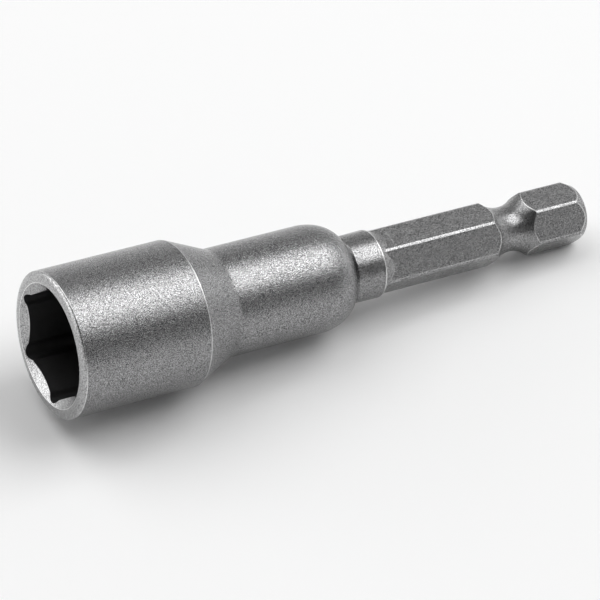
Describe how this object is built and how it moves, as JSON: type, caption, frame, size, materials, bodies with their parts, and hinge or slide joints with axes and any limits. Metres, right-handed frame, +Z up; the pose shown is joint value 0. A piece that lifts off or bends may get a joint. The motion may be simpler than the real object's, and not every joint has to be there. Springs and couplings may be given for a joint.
{
  "type": "magnetic nut setter",
  "caption": "Magnetic nut setter: a round hexagon-socket barrel with a recessed magnet, pressed onto a hexagon bit shank with a power groove.",
  "frame": {"origin": "centre of the mouth face, on the turning axis", "axes": "+X along the turning axis from the mouth to the shank's end, +Z up, with two flats of the shank's hexagon facing +Z and -Z"},
  "size_m": [0.065, 0.0158, 0.0159],
  "materials": {
    "blasted_steel": "fine bead-blasted, satin, with a sparkling grain",
    "drawn_steel": "drawn and lightly tumbled, darker and smoother than the barrel, bright at its corners",
    "magnet_plating": "bright nickel plating",
    "sleeve_brass": "plain turned brass"
  },
  "bodies": {
    "root": {"socket_barrel": "blasted_steel", "drive_shank": "drawn_steel", "magnet": "magnet_plating", "magnet_sleeve": "sleeve_brass"}
  },
  "joints": []
}
